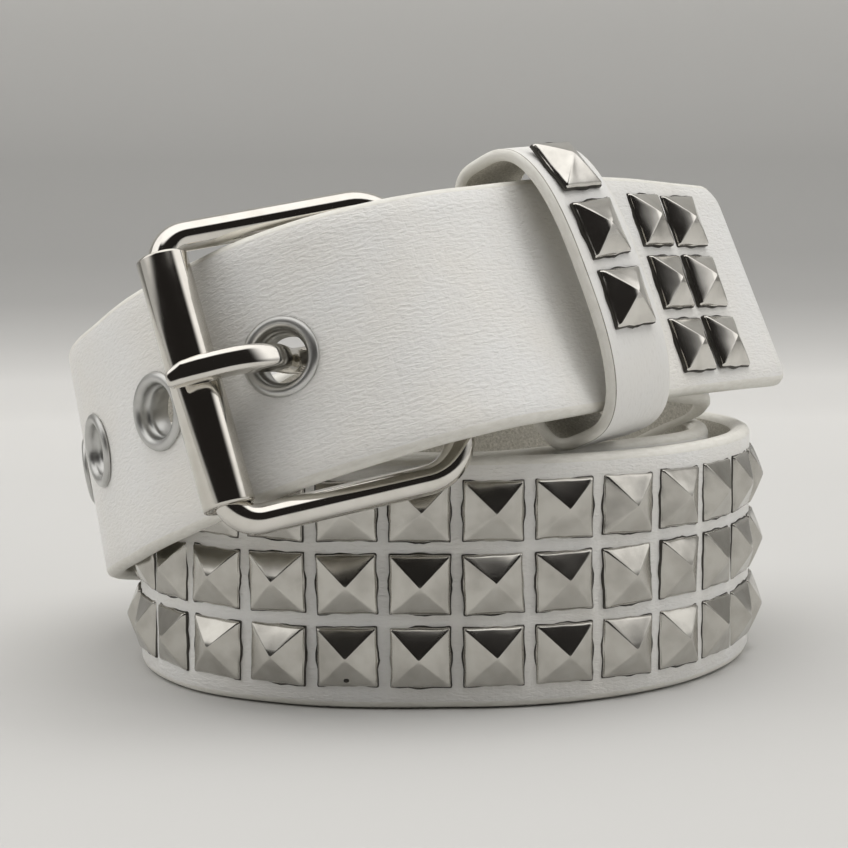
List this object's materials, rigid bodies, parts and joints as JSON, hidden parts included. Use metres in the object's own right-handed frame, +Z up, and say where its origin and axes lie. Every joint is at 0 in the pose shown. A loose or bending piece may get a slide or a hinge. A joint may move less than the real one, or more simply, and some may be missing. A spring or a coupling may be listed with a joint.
{
  "type": "studded belt",
  "caption": "Leather belt with rows of square pyramid studs, roller buckle, studded keeper loop and eyelets, buckled and rolled up on its edge.",
  "frame": {"origin": "middle of the belt's outline on the surface it stands on", "axes": "+Z up; the front of the coil, where the buckle is, faces -Y; +X to the right of the viewer in front"},
  "size_m": [0.1222, 0.1238, 0.0851],
  "materials": {
    "leather": "white smooth leather with a fine grain; the fixed studs on it are bright nickel",
    "studs": "bright nickel plate",
    "eyelets": "satin nickel plate",
    "buckle": "polished nickel plate"
  },
  "bodies": {
    "root": {"belt_strap": "leather", "buckle_frame": "buckle", "buckle_roller": "buckle", "buckle_prong": "buckle", "keeper_loop": "leather", "keeper_stud_1": "studs", "keeper_stud_2": "studs", "keeper_stud_3": "studs", "tip_stud_1_1": "studs", "tip_stud_1_2": "studs", "tip_stud_1_3": "studs", "tip_stud_2_1": "studs", "tip_stud_2_2": "studs", "tip_stud_2_3": "studs", "eyelet_1": "eyelets", "eyelet_2": "eyelets", "eyelet_3": "eyelets", "eyelet_4": "eyelets", "eyelet_5": "eyelets"}
  },
  "joints": []
}
